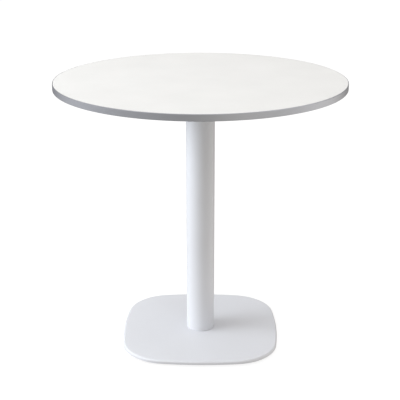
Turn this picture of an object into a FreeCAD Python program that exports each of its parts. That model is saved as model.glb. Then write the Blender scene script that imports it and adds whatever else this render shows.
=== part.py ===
"""Round pedestal bistro table, 800 mm across and 760 mm high, in millimetres.

A laminated round top with a grey edge band stands on one round steel column and a flat
rounded-square steel base plate. The base stands on four swivel glides that screw up and down.

Frame: +Z up, -Y is the front, and the origin is on the floor under the middle of the table.
Each function returns the solids of one sub-part, and main() writes one STEP file per sub-part.
"""

import FreeCAD
import Part
import math
import os

Vector = FreeCAD.Vector
UP = Vector(0, 0, 1)
TOLERANCE = 1e-4

# Driving dimensions
TABLE_HEIGHT = 760.0
TOP_DIAMETER = 800.0
CORE_THICKNESS = 16.0
SHEET_THICKNESS = 0.8
BAND_THICKNESS = 2.0
COLUMN_DIAMETER = 80.0
COLUMN_WALL = 2.0
BASE_WIDTH = 450.0
BASE_THICKNESS = 10.0
FLOOR_GAP = 8.0
MOUNTING_PLATE_WIDTH = 300.0
MOUNTING_PLATE_THICKNESS = 5.0

# Levels, from the floor up
BASE_UNDER = FLOOR_GAP
BASE_TOP = BASE_UNDER + BASE_THICKNESS
TOP_UNDER = TABLE_HEIGHT - CORE_THICKNESS - 2 * SHEET_THICKNESS
CORE_UNDER = TOP_UNDER + SHEET_THICKNESS
CORE_TOP = CORE_UNDER + CORE_THICKNESS
MOUNTING_PLATE_UNDER = TOP_UNDER - MOUNTING_PLATE_THICKNESS
COLUMN_TOP = MOUNTING_PLATE_UNDER

# Tabletop
TOP_RADIUS = TOP_DIAMETER / 2
CORE_RADIUS = TOP_RADIUS - BAND_THICKNESS
BAND_ARRIS = 1.2
BAND_BUTT_GAP = 0.15

# Column and its welded end plugs
COLUMN_RADIUS = COLUMN_DIAMETER / 2
BORE_RADIUS = COLUMN_RADIUS - COLUMN_WALL
COLUMN_ARRIS = 0.8
PLUG_THICKNESS = 12.0
PLUG_VENT_RADIUS = 5.0
WELD_DEPTH = 3.0
WELD_TUBE_BITE = 0.8
WELD_PLUG_BITE = 2.2

# Base plate outline: shallow arcs along the sides, tight arcs at the corners
BASE_SIDE_RADIUS = 900.0
BASE_CORNER_RADIUS = 125.0
BASE_TOP_ARRIS = 5.0
BASE_UNDER_ARRIS = 0.6

# Mounting plate under the top
MOUNTING_CORNER_RADIUS = 60.0
MOUNTING_ARRIS = 0.6
MOUNTING_SCREW_OFFSET = 125.0
MOUNTING_CORNER_OFFSET = 112.0
MOUNTING_HOLE_RADIUS = 3.4

# M6 screws that hold the top, with their washers and insert nuts
M6_RADIUS = 2.95
M6_PITCH = 1.0
M6_LENGTH = 16.0
M6_HEAD_RADIUS = 5.25
M6_HEAD_HEIGHT = 3.3
M6_HEAD_FACE_RADIUS = 3.2
M6_HEAD_RIM = 0.8
M6_DOME_STEPS = 4
M6_NECK = 1.0
M6_TIP_ARRIS = 0.6
M6_SOCKET_ACROSS = 4.0
M6_SOCKET_DEPTH = 2.0
WASHER_RADIUS = 7.0
WASHER_THICKNESS = 1.6
WASHER_HOLE_RADIUS = 3.2
WASHER_ARRIS = 0.25
INSERT_RADIUS = 4.9
INSERT_LENGTH = 12.0
INSERT_PITCH = 2.0
INSERT_THREAD_DEPTH = 0.8
INSERT_BORE_RADIUS = 3.0
INSERT_FLANGE_RADIUS = 6.5
INSERT_FLANGE_THICKNESS = 0.8
INSERT_POCKET_DEPTH = 13.0

# M8 countersunk screws that hold both plates to the column plugs
M8_RADIUS = 3.95
M8_PITCH = 1.25
M8_HEAD_RADIUS = 7.8
M8_HEAD_LAND = 0.4
M8_THREAD_RUNOUT = 0.4
M8_TIP_ARRIS = 0.7
M8_SOCKET_ACROSS = 5.0
M8_SOCKET_DEPTH = 2.6
M8_TAPPED_RADIUS = 4.0
M8_CLEARANCE_RADIUS = 4.3
COUNTERSINK_CLEARANCE = 0.2
M8_CIRCLE_RADIUS = 24.0
M8_TOP_LENGTH = 14.0
M8_BASE_LENGTH = 20.0

# Swivel glides
GLIDE_OFFSET = 158.0
PAD_RADIUS = 17.0
PAD_HEIGHT = 4.7
PAD_FOOT_RADIUS = 14.5
PAD_FOOT_HEIGHT = 1.2
PAD_RIM_HEIGHT = 1.6
PAD_CROWN_HEIGHT = 0.4
PAD_CROWN_WALL = 2.4
PAD_FLOOR = 1.3
PAD_LIP = 1.2
PAD_GRIP_COUNT = 16
PAD_GRIP_RADIUS = 1.1
PAD_GRIP_OUTSET = 0.4
SWIVEL_CLEARANCE = 0.08
BUTTON_RADIUS = 5.6
NECK_RADIUS = 3.6
STUD_RADIUS = 3.98
STUD_HEX_ACROSS = 13.0
STUD_HEX_GAP = 0.3
STUD_SEAT_GAP = 0.3
STUD_ENGAGEMENT = 7.4
STUD_HOLE_RADIUS = 4.05
STUD_HOLE_DEPTH = 8.0

# Thread grooves as shares of the pitch: half the crest, the crest and flank, and the depth
THREAD_CREST_SHARE = 0.1
THREAD_FLANK_SHARE = 0.45
THREAD_DEPTH_SHARE = 0.54


def ring(outer, inner, low, high):
    """A tube wall about the Z axis."""
    height = high - low
    at = Vector(0, 0, low)
    return Part.makeCylinder(outer, height, at).cut(Part.makeCylinder(inner, height, at))


def disc(radius, low, high, x=0.0, y=0.0):
    """An upright cylinder."""
    return Part.makeCylinder(radius, high - low, Vector(x, y, low))


def revolved(profile):
    """The solid that a closed outline of (radius, height) points makes about the Z axis."""
    points = [Vector(radius, 0, height) for radius, height in profile]
    face = Part.Face(Part.makePolygon(points + points[:1]))
    return face.revolve(Vector(0, 0, 0), UP, 360)


def hexagon(across, low, high):
    """An upright hexagonal prism, by its width across the flats."""
    corner = across / math.sqrt(3)
    angles = [math.radians(60 * step) for step in range(7)]
    points = [Vector(corner * math.cos(a), corner * math.sin(a), low) for a in angles]
    return Part.Face(Part.makePolygon(points)).extrude(UP * (high - low))


def moved(shape, x=0.0, y=0.0, z=0.0):
    """A copy of the shape, shifted."""
    copy = shape.copy()
    copy.translate(Vector(x, y, z))
    return copy


def threaded_profile(radius, pitch, low, high, depth):
    """The outside of a threaded shank from low to high, as ring grooves."""
    count = int((high - low) / pitch)
    first = low + (high - low - count * pitch) / 2
    crest = THREAD_CREST_SHARE * pitch
    flank = THREAD_FLANK_SHARE * pitch
    points = [(radius, low)]
    for turn in range(count):
        start = first + turn * pitch
        end = start + pitch
        points += [(radius, start + crest), (radius - depth, start + flank)]
        points += [(radius - depth, end - flank), (radius, end - crest)]
    points.append((radius, high))
    return points


def rounded_square(width, side_radius, corner_radius, low, high):
    """A plate whose outline has four shallow side arcs and four tight corner arcs, all tangent."""
    half = width / 2
    side_centre = half - side_radius
    # The corner arc's centre lies on the diagonal, and the two arcs share a tangent
    reach = side_radius - corner_radius
    corner = (side_centre + math.sqrt(2 * reach**2 - side_centre**2)) / 2
    tangent = math.atan2(corner, corner - side_centre)
    side_end = Vector(
        side_radius * math.sin(tangent), side_centre + side_radius * math.cos(tangent), low
    )
    side_start = Vector(-side_end.x, side_end.y, low)
    next_start = Vector(side_end.y, side_end.x, low)
    diagonal = corner + corner_radius / math.sqrt(2)
    side = Part.Arc(side_start, Vector(0, half, low), side_end)
    turn = Part.Arc(side_end, Vector(diagonal, diagonal, low), next_start)
    edges = []
    for quarter in range(4):
        for arc in (side, turn):
            edge = arc.toShape()
            edge.rotate(Vector(0, 0, 0), UP, -90 * quarter)
            edges.append(edge)
    outline = Part.Wire(Part.__sortEdges__(edges))
    return Part.Face(outline).extrude(UP * (high - low))


def edges_at(shape, height):
    """The edges that lie wholly at one height."""
    found = []
    for edge in shape.Edges:
        box = edge.BoundBox
        if abs(box.ZMin - height) < TOLERANCE and abs(box.ZMax - height) < TOLERANCE:
            found.append(edge)
    return found


def circles_at(shape, height, radius):
    """The round edges of one radius at one height."""
    return [e for e in edges_at(shape, height) if abs(e.Curve.Radius - radius) < TOLERANCE]


def circle_places(radius, count, turn=45.0):
    """Places evenly spaced on a circle."""
    angles = [math.radians(turn + 360.0 * step / count) for step in range(count)]
    return [(radius * math.cos(a), radius * math.sin(a)) for a in angles]


def mounting_places():
    """The eight screws that hold the top: one in each corner of the plate and one by each side."""
    inner = MOUNTING_SCREW_OFFSET
    outer = MOUNTING_CORNER_OFFSET
    sides = [(inner, 0.0), (0.0, inner), (-inner, 0.0), (0.0, -inner)]
    corners = [(outer, outer), (-outer, outer), (-outer, -outer), (outer, -outer)]
    return sides + corners


def glide_places():
    """Name and place of each glide."""
    far = GLIDE_OFFSET
    return {
        "front_left": (-far, -far),
        "front_right": (far, -far),
        "back_left": (-far, far),
        "back_right": (far, far),
    }


# Tabletop


def tabletop_core():
    """Particle board disc with a blind pocket for each insert nut."""
    core = disc(CORE_RADIUS, CORE_UNDER, CORE_TOP)
    pocket_top = TOP_UNDER + INSERT_POCKET_DEPTH
    for x, y in mounting_places():
        core = core.cut(disc(INSERT_RADIUS, CORE_UNDER, pocket_top, x, y))
    return [core]


def tabletop_laminate():
    """White laminate sheet that is the table's surface."""
    return [disc(CORE_RADIUS, CORE_TOP, TABLE_HEIGHT)]


def tabletop_backing():
    """Balancing sheet under the core, open at each insert nut's flange."""
    sheet = disc(CORE_RADIUS, TOP_UNDER, CORE_UNDER)
    for x, y in mounting_places():
        sheet = sheet.cut(disc(INSERT_FLANGE_RADIUS, TOP_UNDER, CORE_UNDER, x, y))
    return [sheet]


def tabletop_edge_band():
    """Plastic strip round the edge, with softened arrises and its butt joint at the back."""
    band = ring(TOP_RADIUS, CORE_RADIUS, TOP_UNDER, TABLE_HEIGHT)
    arrises = circles_at(band, TOP_UNDER, TOP_RADIUS) + circles_at(band, TABLE_HEIGHT, TOP_RADIUS)
    band = band.makeFillet(BAND_ARRIS, arrises)
    gap = Part.makeBox(
        BAND_BUTT_GAP,
        2 * BAND_THICKNESS,
        TABLE_HEIGHT - TOP_UNDER,
        Vector(-BAND_BUTT_GAP / 2, TOP_RADIUS - 1.5 * BAND_THICKNESS, TOP_UNDER),
    )
    return [band.cut(gap)]


# Fasteners of the top


def insert_nuts():
    """Flanged screw-in nuts in the core, coarse outside and M6 inside."""
    low = TOP_UNDER
    thread_low = low + INSERT_FLANGE_THICKNESS
    thread = threaded_profile(
        INSERT_RADIUS, INSERT_PITCH, thread_low, low + INSERT_LENGTH, INSERT_THREAD_DEPTH
    )
    profile = [(INSERT_BORE_RADIUS, low), (INSERT_FLANGE_RADIUS, low)]
    profile += [(INSERT_FLANGE_RADIUS, thread_low)] + thread
    profile += [(INSERT_BORE_RADIUS, low + INSERT_LENGTH)]
    nut = revolved(profile)
    return [moved(nut, x, y) for x, y in mounting_places()]


def mounting_washers():
    """Plain washers under the screw heads."""
    low = MOUNTING_PLATE_UNDER - WASHER_THICKNESS
    washer = ring(WASHER_RADIUS, WASHER_HOLE_RADIUS, low, MOUNTING_PLATE_UNDER)
    washer = washer.makeChamfer(WASHER_ARRIS, circles_at(washer, low, WASHER_RADIUS))
    return [moved(washer, x, y) for x, y in mounting_places()]


def mounting_screws():
    """M6 button-head screws, driven up through the plate into the insert nuts."""
    seat = MOUNTING_PLATE_UNDER - WASHER_THICKNESS
    tip = seat + M6_LENGTH
    bottom = seat - M6_HEAD_HEIGHT
    depth = M6_PITCH * THREAD_DEPTH_SHARE
    shank = threaded_profile(M6_RADIUS, M6_PITCH, seat + M6_NECK, tip - M6_TIP_ARRIS, depth)
    profile = [(0, bottom)]
    for step in range(M6_DOME_STEPS + 1):
        angle = math.pi / 2 * step / M6_DOME_STEPS
        out = (M6_HEAD_RADIUS - M6_HEAD_FACE_RADIUS) * math.sin(angle)
        rise = (M6_HEAD_HEIGHT - M6_HEAD_RIM) * (1 - math.cos(angle))
        profile.append((M6_HEAD_FACE_RADIUS + out, bottom + rise))
    profile += [(M6_HEAD_RADIUS, seat), (M6_RADIUS, seat)] + shank
    profile += [(M6_RADIUS - M6_TIP_ARRIS, tip), (0, tip)]
    screw = revolved(profile)
    screw = screw.cut(hexagon(M6_SOCKET_ACROSS, bottom, bottom + M6_SOCKET_DEPTH))
    return [moved(screw, x, y) for x, y in mounting_places()]


def mounting_plate():
    """Steel plate between the column and the top."""
    low, high = MOUNTING_PLATE_UNDER, TOP_UNDER
    plate = rounded_square(
        MOUNTING_PLATE_WIDTH, BASE_SIDE_RADIUS, MOUNTING_CORNER_RADIUS, low, high
    )
    plate = plate.makeChamfer(MOUNTING_ARRIS, edges_at(plate, low))
    for x, y in mounting_places():
        plate = plate.cut(disc(MOUNTING_HOLE_RADIUS, low, high, x, y))
    sink = countersunk_hole(low, MOUNTING_PLATE_THICKNESS).mirror(Vector(0, 0, (low + high) / 2), UP)
    for x, y in circle_places(M8_CIRCLE_RADIUS, 4):
        plate = plate.cut(moved(sink, x, y))
    return [plate]


# Countersunk screws


def countersunk_screw(face, length):
    """M8 socket countersunk screw that points up, with its head flush at the height given."""
    cone = M8_HEAD_RADIUS - M8_RADIUS
    neck = face + M8_HEAD_LAND + cone
    tip = face + length
    depth = M8_PITCH * THREAD_DEPTH_SHARE
    thread_low = neck + M8_THREAD_RUNOUT
    shank = threaded_profile(M8_RADIUS, M8_PITCH, thread_low, tip - M8_TIP_ARRIS, depth)
    profile = [(0, face), (M8_HEAD_RADIUS, face), (M8_HEAD_RADIUS, face + M8_HEAD_LAND)]
    profile += [(M8_RADIUS, neck)] + shank + [(M8_RADIUS - M8_TIP_ARRIS, tip), (0, tip)]
    return revolved(profile).cut(hexagon(M8_SOCKET_ACROSS, face, face + M8_SOCKET_DEPTH))


def countersunk_hole(face, thickness):
    """The hole for that screw through a plate whose outer face is at the height given."""
    mouth = M8_HEAD_RADIUS + COUNTERSINK_CLEARANCE
    land = face + M8_HEAD_LAND
    neck = land + mouth - M8_CLEARANCE_RADIUS
    profile = [(0, face), (mouth, face), (mouth, land), (M8_CLEARANCE_RADIUS, neck)]
    profile += [(M8_CLEARANCE_RADIUS, face + thickness), (0, face + thickness)]
    return revolved(profile)


def top_plug_screws():
    """Four screws, heads flush with the mounting plate's upper face, down into the top plug."""
    screw = countersunk_screw(TOP_UNDER, M8_TOP_LENGTH).mirror(Vector(0, 0, TOP_UNDER), UP)
    return [moved(screw, x, y) for x, y in circle_places(M8_CIRCLE_RADIUS, 4)]


def base_screws():
    """Four screws, heads flush with the base plate's underside, up into the bottom plug."""
    screw = countersunk_screw(BASE_UNDER, M8_BASE_LENGTH)
    return [moved(screw, x, y) for x, y in circle_places(M8_CIRCLE_RADIUS, 4)]


# Column


def column_tube():
    """Round steel tube, bevelled inside each end for the weld."""
    low, high = BASE_TOP, COLUMN_TOP
    outer, inner = COLUMN_RADIUS, BORE_RADIUS
    bevel = inner + WELD_TUBE_BITE
    profile = [(bevel, low), (outer - COLUMN_ARRIS, low), (outer, low + COLUMN_ARRIS)]
    profile += [(outer, high - COLUMN_ARRIS), (outer - COLUMN_ARRIS, high), (bevel, high)]
    profile += [(inner, high - WELD_DEPTH), (inner, low + WELD_DEPTH)]
    return [revolved(profile)]


def plug(face, inward):
    """Tapped steel disc welded into a tube end. Inward is +1 where the tube is above the face."""
    inner = face + inward * PLUG_THICKNESS
    groove = face + inward * WELD_DEPTH
    profile = [(PLUG_VENT_RADIUS, face), (BORE_RADIUS - WELD_PLUG_BITE, face)]
    profile += [(BORE_RADIUS, groove), (BORE_RADIUS, inner), (PLUG_VENT_RADIUS, inner)]
    body = revolved(profile)
    low, high = sorted((face, inner))
    for x, y in circle_places(M8_CIRCLE_RADIUS, 4):
        body = body.cut(disc(M8_TAPPED_RADIUS, low, high, x, y))
    return body


def plug_weld(face, inward):
    """The weld that fills the groove between a plug and the tube, dressed flush."""
    root = face + inward * WELD_DEPTH
    profile = [(BORE_RADIUS - WELD_PLUG_BITE, face), (BORE_RADIUS + WELD_TUBE_BITE, face)]
    profile += [(BORE_RADIUS, root)]
    return revolved(profile)


# Base


def base_plate():
    """Flat steel plate, with blind tapped holes for the glides and countersinks underneath."""
    plate = rounded_square(
        BASE_WIDTH, BASE_SIDE_RADIUS, BASE_CORNER_RADIUS, BASE_UNDER, BASE_TOP
    )
    plate = plate.makeFillet(BASE_TOP_ARRIS, edges_at(plate, BASE_TOP))
    plate = plate.makeChamfer(BASE_UNDER_ARRIS, edges_at(plate, BASE_UNDER))
    sink = countersunk_hole(BASE_UNDER, BASE_THICKNESS)
    for x, y in circle_places(M8_CIRCLE_RADIUS, 4):
        plate = plate.cut(moved(sink, x, y))
    hole = disc(STUD_HOLE_RADIUS, BASE_UNDER, BASE_UNDER + STUD_HOLE_DEPTH)
    for x, y in glide_places().values():
        plate = plate.cut(moved(hole, x, y))
    return [plate]


def glide_pad(x, y):
    """Nylon foot with a grip rim, hollow inside for the stud's button."""
    cavity_low = PAD_FLOOR
    cavity_high = PAD_HEIGHT - PAD_LIP
    socket = BUTTON_RADIUS + SWIVEL_CLEARANCE
    throat = NECK_RADIUS + SWIVEL_CLEARANCE
    crown = socket + PAD_CROWN_WALL
    profile = [(0, 0), (PAD_FOOT_RADIUS, 0), (PAD_RADIUS, PAD_FOOT_HEIGHT)]
    profile += [(PAD_RADIUS, PAD_FOOT_HEIGHT + PAD_RIM_HEIGHT)]
    profile += [(crown, PAD_HEIGHT - PAD_CROWN_HEIGHT)]
    profile += [(crown, PAD_HEIGHT), (throat, PAD_HEIGHT), (throat, cavity_high)]
    profile += [(socket, cavity_high), (socket, cavity_low), (0, cavity_low)]
    pad = revolved(profile)
    for grip_x, grip_y in circle_places(PAD_RADIUS + PAD_GRIP_OUTSET, PAD_GRIP_COUNT, 0.0):
        pad = pad.cut(disc(PAD_GRIP_RADIUS, -1.0, PAD_HEIGHT, grip_x, grip_y))
    return [moved(pad, x, y)]


def glide_stud(x, y):
    """M8 stud with a spanner hexagon, and a button that turns in the pad."""
    button_low = PAD_FLOOR + SWIVEL_CLEARANCE
    button_high = PAD_HEIGHT - PAD_LIP - SWIVEL_CLEARANCE
    hex_low = PAD_HEIGHT + STUD_HEX_GAP
    hex_high = BASE_UNDER - STUD_SEAT_GAP
    tip = BASE_UNDER + STUD_ENGAGEMENT
    depth = M8_PITCH * THREAD_DEPTH_SHARE
    thread_low = hex_high + M8_THREAD_RUNOUT
    shank = threaded_profile(STUD_RADIUS, M8_PITCH, thread_low, tip - M8_TIP_ARRIS, depth)
    profile = [(0, button_low), (BUTTON_RADIUS, button_low), (BUTTON_RADIUS, button_high)]
    profile += [(NECK_RADIUS, button_high), (NECK_RADIUS, hex_low), (STUD_RADIUS, hex_low)]
    profile += [(STUD_RADIUS, hex_high)] + shank
    profile += [(STUD_RADIUS - M8_TIP_ARRIS, tip), (0, tip)]
    stud = revolved(profile).fuse(hexagon(STUD_HEX_ACROSS, hex_low, hex_high)).removeSplitter()
    return [moved(stud, x, y)]


def sub_parts():
    """Every sub-part's name and solids."""
    parts = {
        "tabletop_core": tabletop_core(),
        "tabletop_laminate": tabletop_laminate(),
        "tabletop_backing": tabletop_backing(),
        "tabletop_edge_band": tabletop_edge_band(),
        "insert_nuts": insert_nuts(),
        "mounting_washers": mounting_washers(),
        "mounting_screws": mounting_screws(),
        "mounting_plate": mounting_plate(),
        "top_plug_screws": top_plug_screws(),
        "column_tube": column_tube(),
        "column_top_plug": [plug(COLUMN_TOP, -1)],
        "column_top_weld": [plug_weld(COLUMN_TOP, -1)],
        "column_bottom_plug": [plug(BASE_TOP, 1)],
        "column_bottom_weld": [plug_weld(BASE_TOP, 1)],
        "base_plate": base_plate(),
        "base_screws": base_screws(),
    }
    for corner, (x, y) in glide_places().items():
        parts[f"glide_pad_{corner}"] = glide_pad(x, y)
        parts[f"glide_stud_{corner}"] = glide_stud(x, y)
    return parts


def main():
    os.makedirs("parts", exist_ok=True)
    for name, solids in sub_parts().items():
        for solid in solids:
            if not solid.isValid() or solid.Volume <= 0:
                raise ValueError(f"{name} has a solid that isn't valid")
        shape = solids[0] if len(solids) == 1 else Part.makeCompound(solids)
        shape.exportStep(f"parts/{name}.step")
        volume = sum(solid.Volume for solid in solids)
        print(f"{name}: {len(shape.Solids)} solid(s), {volume / 1000:.1f} cm3")


main()
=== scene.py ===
"""The looks of a round bistro table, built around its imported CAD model. Metres, +Z up, -Y front."""

import math

import bpy
from mathutils import Euler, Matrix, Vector

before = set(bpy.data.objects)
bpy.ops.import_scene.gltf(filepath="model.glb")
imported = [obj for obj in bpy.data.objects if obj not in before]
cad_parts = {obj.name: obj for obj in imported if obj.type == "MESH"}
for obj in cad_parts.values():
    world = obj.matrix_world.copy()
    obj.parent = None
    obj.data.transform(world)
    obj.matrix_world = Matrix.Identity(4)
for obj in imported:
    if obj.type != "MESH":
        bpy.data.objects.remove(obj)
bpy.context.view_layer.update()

# Colours, as linear red, green and blue
LAMINATE_WHITE = (0.82, 0.82, 0.81)
BACKING_WHITE = (0.78, 0.78, 0.75)
POWDER_WHITE = (0.75, 0.76, 0.80)
BAND_GREY = (0.525, 0.54, 0.585)
BOARD_BROWN = (0.42, 0.29, 0.16)
ZINC = (0.62, 0.63, 0.64)
STEEL = (0.34, 0.335, 0.33)
NYLON_BLACK = (0.018, 0.018, 0.020)
SWEEP_WHITE = (0.22, 0.22, 0.22)
LIGHT_WHITE = (1.0, 1.0, 1.0)

# Finishes. A scale is in features per metre and a depth is in metres. A tint is the darkest and
# lightest share of the colour, and a roughness is a lowest and highest value unless it is single.
LAMINATE_CLOUD_SCALE = 9.0
LAMINATE_TINT = (0.985, 1.015)
LAMINATE_GRAIN_SCALE = 900.0
LAMINATE_GRAIN_DEPTH = 0.00004
LAMINATE_ROUGHNESS = (0.39, 0.45)
BACKING_ROUGHNESS = (0.52, 0.58)

POWDER_TONE_SCALE = 5.0
POWDER_TINT = (0.985, 1.015)
POWDER_PEEL_SCALE = 420.0
POWDER_PEEL_DEPTH = 0.00006
POWDER_ROUGHNESS = (0.38, 0.46)
POWDER_COAT_WEIGHT = 0.15
POWDER_COAT_ROUGHNESS = 0.25

BAND_LINE_SCALE = 40.0
BAND_LINE_STRETCH = 60.0  # how many times longer than high a line is
BAND_LINE_DEPTH = 0.00005
BAND_TINT = (0.96, 1.04)
BAND_ROUGHNESS = (0.30, 0.40)
BAND_METALLIC = 0.9

BOARD_CHIP_SCALE = 260.0
BOARD_CHIP_DEPTH = 0.0003
BOARD_TINT = (0.6, 1.6)
BOARD_ROUGHNESS = 0.85

METAL_TINT = (0.88, 1.10)
ZINC_GRAIN_SCALE = 300.0
ZINC_GRAIN_DEPTH = 0.00002
ZINC_ROUGHNESS = (0.22, 0.36)
STEEL_GRAIN_SCALE = 150.0
STEEL_GRAIN_DEPTH = 0.00004
STEEL_ROUGHNESS = (0.36, 0.50)

NYLON_GRAIN_SCALE = 1500.0
NYLON_GRAIN_DEPTH = 0.00005
NYLON_TINT = (0.8, 1.3)
NYLON_ROUGHNESS = (0.50, 0.62)

# A tint is at its darkest where its noise is below the first of these, and at its lightest where
# the noise is above the second
NOISE_LOW = 0.3
NOISE_HIGH = 0.7

# Camera: where it stands, how it turns in radians, and its lens
CAMERA_PLACE = (0.0316, -2.5673, 1.2947)
CAMERA_PITCH = -0.3312
CAMERA_YAW = 0.0128
CAMERA_ROLL = 0.0004
CAMERA_LENS_MM = 86.07

# Floor and backdrop
SWEEP_GLOW = 0.86
SWEEP_TONE_SCALE = 2.0
SWEEP_TINT = (0.99, 1.0)
SWEEP_ROUGHNESS = 0.95
SWEEP_FLOOR_RADIUS = 9.0
SWEEP_CURVE_RADIUS = 5.0
SWEEP_HEIGHT = 12.0
SWEEP_STEPS = 12
SWEEP_SIDES = 96

# Light from the room, as soft lobes: azimuth from the front towards the right and elevation in
# degrees, sharpness, and colour
ROOM_LOBES = [
    (0.0, 90.0, 1.0, (1.24, 1.22, 1.20)),
    (30.0, -20.0, 5.0, (0.66, 0.63, 0.575)),
    (70.0, -20.0, 5.0, (0.33, 0.325, 0.315)),
    (110.0, -20.0, 5.0, (0.98, 0.94, 0.88)),
    (-110.0, -20.0, 5.0, (0.76, 0.755, 0.76)),
    (-45.0, 0.0, 4.0, (0.56, 0.55, 0.54)),
]

# Softboxes: name, azimuth, height, width, length and watts. Each faces level towards the
# column's axis.
SOFTBOXES = [
    ("key_tall", -75.0, 0.80, 0.9, 1.4, 23.5),
    ("key_side", -90.0, 1.45, 0.9, 0.9, 23.5),
    ("key_front", -65.0, 1.45, 0.9, 0.9, 11.5),
]
SOFTBOX_DISTANCE = 2.4
SOFTBOX_COLOUR = (0.91, 0.96, 1.0)
OVERHEAD_HEIGHT = 3.0
OVERHEAD_WIDTH = 2.0
OVERHEAD_WATTS = 9.4


def node_material(name):
    """A new material, its tree, its Principled shader and the object's own coordinates in metres."""
    material = bpy.data.materials.new(name)
    material.use_nodes = True
    tree = material.node_tree
    point = tree.nodes.new("ShaderNodeTexCoord").outputs["Object"]
    return material, tree, tree.nodes["Principled BSDF"], point


def add(tree, kind, **inputs):
    """A shader node with its unlinked inputs set by name."""
    node = tree.nodes.new(kind)
    for key, value in inputs.items():
        node.inputs[key.replace("_", " ")].default_value = value
    return node


def noise(tree, point, scale, detail=3.0, roughness=0.5):
    """A noise texture's value at a point."""
    node = add(tree, "ShaderNodeTexNoise", Scale=scale, Detail=detail, Roughness=roughness)
    tree.links.new(point, node.inputs["Vector"])
    return node.outputs["Fac"]


def shade(colour, factor):
    """A colour made lighter or darker."""
    return tuple(min(1.0, channel * factor) for channel in colour)


def colour_by(tree, shader, value, stops):
    """Base colour from a ramp over a value: stops are (place, colour)."""
    node = tree.nodes.new("ShaderNodeValToRGB")
    elements = node.color_ramp.elements
    while len(elements) < len(stops):
        elements.new(0.5)
    for element, (place, colour) in zip(elements, stops):
        element.position = place
        element.color = (*colour, 1.0)
    tree.links.new(value, node.inputs["Fac"])
    tree.links.new(node.outputs["Color"], shader.inputs["Base Color"])


def mottle(tree, shader, value, colour, tint):
    """Base colour that drifts from a darker to a lighter tint with a noise value."""
    darkest, lightest = tint
    stops = [(NOISE_LOW, shade(colour, darkest)), (NOISE_HIGH, shade(colour, lightest))]
    colour_by(tree, shader, value, stops)


def roughen(tree, shader, value, roughness):
    """Roughness that runs from its lowest to its highest as a value runs from 0 to 1."""
    lowest, highest = roughness
    node = add(tree, "ShaderNodeMapRange", To_Min=lowest, To_Max=highest)
    tree.links.new(value, node.inputs["Value"])
    tree.links.new(node.outputs["Result"], shader.inputs["Roughness"])


def bump(tree, shader, value, depth):
    """Bump of a real depth in metres."""
    node = add(tree, "ShaderNodeBump", Distance=depth)
    tree.links.new(value, node.inputs["Height"])
    tree.links.new(node.outputs["Normal"], shader.inputs["Normal"])


def laminate_material(name, colour, roughness):
    """High-pressure laminate: a very fine pressed grain and a faint cloudiness."""
    material, tree, shader, point = node_material(name)
    clouds = noise(tree, point, LAMINATE_CLOUD_SCALE)
    mottle(tree, shader, clouds, colour, LAMINATE_TINT)
    roughen(tree, shader, clouds, roughness)
    grain = noise(tree, point, LAMINATE_GRAIN_SCALE, detail=2.0)
    bump(tree, shader, grain, LAMINATE_GRAIN_DEPTH)
    return material


def powder_material():
    """Satin powder coat with orange peel."""
    material, tree, shader, point = node_material("powder_coat_white")
    tone = noise(tree, point, POWDER_TONE_SCALE)
    mottle(tree, shader, tone, POWDER_WHITE, POWDER_TINT)
    peel = noise(tree, point, POWDER_PEEL_SCALE, detail=2.0, roughness=0.4)
    roughen(tree, shader, peel, POWDER_ROUGHNESS)
    bump(tree, shader, peel, POWDER_PEEL_DEPTH)
    shader.inputs["Coat Weight"].default_value = POWDER_COAT_WEIGHT
    shader.inputs["Coat Roughness"].default_value = POWDER_COAT_ROUGHNESS
    return material


def band_material():
    """Extruded metallic grey plastic strip: fine lines along its length."""
    material, tree, shader, point = node_material("edge_band_grey")
    stretch = add(tree, "ShaderNodeMapping", Scale=(1.0, 1.0, BAND_LINE_STRETCH))
    tree.links.new(point, stretch.inputs["Vector"])
    lines = noise(tree, stretch.outputs["Vector"], BAND_LINE_SCALE, roughness=0.6)
    mottle(tree, shader, lines, BAND_GREY, BAND_TINT)
    roughen(tree, shader, lines, BAND_ROUGHNESS)
    bump(tree, shader, lines, BAND_LINE_DEPTH)
    shader.inputs["Metallic"].default_value = BAND_METALLIC
    return material


def board_material():
    """Raw particle board: chips in several browns."""
    material, tree, shader, point = node_material("particle_board")
    chips = add(tree, "ShaderNodeTexVoronoi", Scale=BOARD_CHIP_SCALE)
    tree.links.new(point, chips.inputs["Vector"])
    split = tree.nodes.new("ShaderNodeSeparateColor")
    tree.links.new(chips.outputs["Color"], split.inputs["Color"])
    tone = split.outputs["Red"]
    darkest, lightest = (shade(BOARD_BROWN, share) for share in BOARD_TINT)
    colour_by(tree, shader, tone, [(0.0, darkest), (0.5, BOARD_BROWN), (1.0, lightest)])
    bump(tree, shader, tone, BOARD_CHIP_DEPTH)
    shader.inputs["Roughness"].default_value = BOARD_ROUGHNESS
    return material


def metal_material(name, colour, roughness, grain_scale, depth):
    """Bare or plated metal with a slightly uneven polish."""
    material, tree, shader, point = node_material(name)
    grain = noise(tree, point, grain_scale, detail=4.0, roughness=0.6)
    mottle(tree, shader, grain, colour, METAL_TINT)
    roughen(tree, shader, grain, roughness)
    bump(tree, shader, grain, depth)
    shader.inputs["Metallic"].default_value = 1.0
    return material


def nylon_material():
    """Moulded black nylon with a matt spark-eroded grain."""
    material, tree, shader, point = node_material("nylon_black")
    grain = noise(tree, point, NYLON_GRAIN_SCALE, detail=2.0)
    mottle(tree, shader, grain, NYLON_BLACK, NYLON_TINT)
    roughen(tree, shader, grain, NYLON_ROUGHNESS)
    bump(tree, shader, grain, NYLON_GRAIN_DEPTH)
    return material


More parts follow.
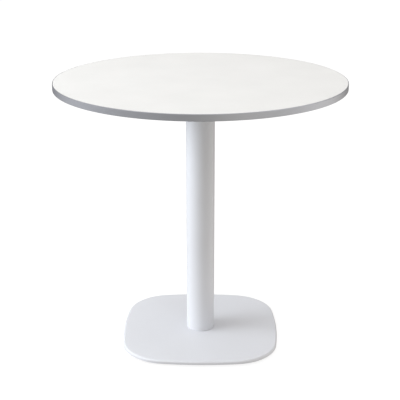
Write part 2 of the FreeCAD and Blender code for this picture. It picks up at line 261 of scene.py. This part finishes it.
def sweep_material():
    """Plain white studio paper, bright enough to stay white, with soft shadows on it."""
    material, tree, shader, point = node_material("sweep_white")
    tone = noise(tree, point, SWEEP_TONE_SCALE)
    mottle(tree, shader, tone, SWEEP_WHITE, SWEEP_TINT)
    shader.inputs["Roughness"].default_value = SWEEP_ROUGHNESS
    shader.inputs["Specular IOR Level"].default_value = 0.0
    shader.inputs["Emission Color"].default_value = (*LIGHT_WHITE, 1.0)
    shader.inputs["Emission Strength"].default_value = SWEEP_GLOW
    return material


def dress(material, *nodes):
    """Give the material to CAD nodes."""
    for name in nodes:
        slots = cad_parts[name].data.materials
        slots.clear()
        slots.append(material)


def dress_all():
    """Every CAD node's material."""
    laminate = laminate_material("laminate_white", LAMINATE_WHITE, LAMINATE_ROUGHNESS)
    dress(laminate, "tabletop_laminate")
    backing = laminate_material("backing_white", BACKING_WHITE, BACKING_ROUGHNESS)
    dress(backing, "tabletop_backing")
    dress(band_material(), "tabletop_edge_band")
    dress(board_material(), "tabletop_core")
    dress(powder_material(), "column_tube", "base_plate", "mounting_plate")
    zinc = metal_material("zinc_plating", ZINC, ZINC_ROUGHNESS, ZINC_GRAIN_SCALE, ZINC_GRAIN_DEPTH)
    dress(zinc, "insert_nuts", "mounting_washers", "mounting_screws", "top_plug_screws", "base_screws")
    steel = metal_material("mild_steel", STEEL, STEEL_ROUGHNESS, STEEL_GRAIN_SCALE, STEEL_GRAIN_DEPTH)
    dress(steel, "column_top_plug", "column_top_weld", "column_bottom_plug", "column_bottom_weld")
    nylon = nylon_material()
    for corner in ("front_left", "front_right", "back_left", "back_right"):
        dress(nylon, f"glide_pad_{corner}")
        dress(zinc, f"glide_stud_{corner}")


def sweep_profile():
    """The sweep's radii and heights: the floor's edge, a quarter curve, then the wall's top."""
    profile = [(SWEEP_FLOOR_RADIUS, 0.0)]
    for step in range(1, SWEEP_STEPS + 1):
        angle = math.pi / 2 * step / SWEEP_STEPS
        radius = SWEEP_FLOOR_RADIUS + SWEEP_CURVE_RADIUS * math.sin(angle)
        profile.append((radius, SWEEP_CURVE_RADIUS * (1 - math.cos(angle))))
    profile.append((SWEEP_FLOOR_RADIUS + SWEEP_CURVE_RADIUS, SWEEP_HEIGHT))
    return profile


def studio_sweep():
    """A pale floor that curves up all round into a wall. Only the camera sees it."""
    profile = sweep_profile()
    points = [(0.0, 0.0, 0.0)]
    for radius, height in profile:
        for side in range(SWEEP_SIDES):
            angle = 2 * math.pi * side / SWEEP_SIDES
            points.append((radius * math.cos(angle), radius * math.sin(angle), height))
    faces = []
    for side in range(SWEEP_SIDES):
        after = (side + 1) % SWEEP_SIDES
        faces.append((0, 1 + side, 1 + after))
        for level in range(len(profile) - 1):
            low = 1 + level * SWEEP_SIDES
            high = low + SWEEP_SIDES
            faces.append((low + side, high + side, high + after, low + after))
    mesh = bpy.data.meshes.new("studio_sweep")
    mesh.from_pydata(points, [], faces)
    mesh.shade_smooth()
    mesh.materials.append(sweep_material())
    sweep = bpy.data.objects.new("studio_sweep", mesh)
    bpy.context.scene.collection.objects.link(sweep)
    sweep.visible_diffuse = False
    sweep.visible_glossy = False
    sweep.visible_transmission = False
    sweep.visible_shadow = False


def towards(azimuth, elevation):
    """The unit vector at an azimuth from the front towards the right, and an elevation."""
    around = math.radians(azimuth)
    up = math.radians(elevation)
    flat = math.cos(up)
    return Vector((flat * math.sin(around), -flat * math.cos(around), math.sin(up)))


def operator(tree, kind, operation):
    """A Math or Vector Math node that does one operation."""
    node = tree.nodes.new(kind)
    node.operation = operation
    return node


def room_lobe(tree, direction, centre, sharpness, colour):
    """Light that is strongest from its centre and fades to nothing at right angles to it."""
    facing = operator(tree, "ShaderNodeVectorMath", "DOT_PRODUCT")
    facing.inputs[1].default_value = centre
    tree.links.new(direction, facing.inputs[0])
    front = operator(tree, "ShaderNodeMath", "MAXIMUM")
    front.inputs[1].default_value = 0.0
    tree.links.new(facing.outputs["Value"], front.inputs[0])
    lobe = operator(tree, "ShaderNodeMath", "POWER")
    lobe.inputs[1].default_value = sharpness
    tree.links.new(front.outputs["Value"], lobe.inputs[0])
    tinted = operator(tree, "ShaderNodeVectorMath", "SCALE")
    tinted.inputs[0].default_value = colour
    tree.links.new(lobe.outputs["Value"], tinted.inputs["Scale"])
    return tinted.outputs["Vector"]


def room_light():
    """Light from the whole room: the sum of its lobes."""
    world = bpy.data.worlds.new("studio")
    bpy.context.scene.world = world
    world.use_nodes = True
    tree = world.node_tree
    direction = tree.nodes.new("ShaderNodeTexCoord").outputs["Generated"]
    total = None
    for azimuth, elevation, sharpness, colour in ROOM_LOBES:
        lobe = room_lobe(tree, direction, towards(azimuth, elevation), sharpness, colour)
        if total is None:
            total = lobe
            continue
        joined = operator(tree, "ShaderNodeVectorMath", "ADD")
        tree.links.new(total, joined.inputs[0])
        tree.links.new(lobe, joined.inputs[1])
        total = joined.outputs["Vector"]
    tree.links.new(total, tree.nodes["Background"].inputs["Color"])


def softbox(name, place, facing, width, length, watts, colour):
    """A rectangular area light that lights surfaces but isn't mirrored in them."""
    data = bpy.data.lights.new(name, "AREA")
    data.shape = "RECTANGLE"
    data.size = width
    data.size_y = length
    data.energy = watts
    data.color = colour
    light = bpy.data.objects.new(name, data)
    light.location = place
    light.rotation_euler = facing.to_track_quat("-Z", "Y").to_euler()
    light.visible_glossy = False
    bpy.context.scene.collection.objects.link(light)


def softboxes():
    """The key lights on the left, and one panel overhead."""
    for name, azimuth, height, width, length, watts in SOFTBOXES:
        out = SOFTBOX_DISTANCE * towards(azimuth, 0.0)
        place = out + Vector((0.0, 0.0, height))
        softbox(name, place, -out, width, length, watts, SOFTBOX_COLOUR)
    place = Vector((0.0, 0.0, OVERHEAD_HEIGHT))
    width = OVERHEAD_WIDTH
    softbox("overhead", place, -place, width, width, OVERHEAD_WATTS, LIGHT_WHITE)


def studio_camera():
    """The camera. Before its turns it looks level, towards the back."""
    lens = bpy.data.cameras.new("camera")
    lens.lens = CAMERA_LENS_MM
    camera = bpy.data.objects.new("camera", lens)
    bpy.context.scene.collection.objects.link(camera)
    turn = Euler((0.0, 0.0, CAMERA_YAW)).to_matrix()
    turn = turn @ Euler((CAMERA_PITCH, 0.0, 0.0)).to_matrix()
    turn = turn @ Euler((0.0, CAMERA_ROLL, 0.0)).to_matrix()
    turn = turn @ Euler((math.pi / 2, 0.0, 0.0)).to_matrix()
    camera.matrix_world = turn.to_4x4()
    camera.location = CAMERA_PLACE
    bpy.context.scene.camera = camera


def studio():
    """Floor, lights and camera, with colours shown as they are."""
    studio_sweep()
    room_light()
    softboxes()
    studio_camera()
    bpy.context.scene.view_settings.view_transform = "Standard"


dress_all()
studio()
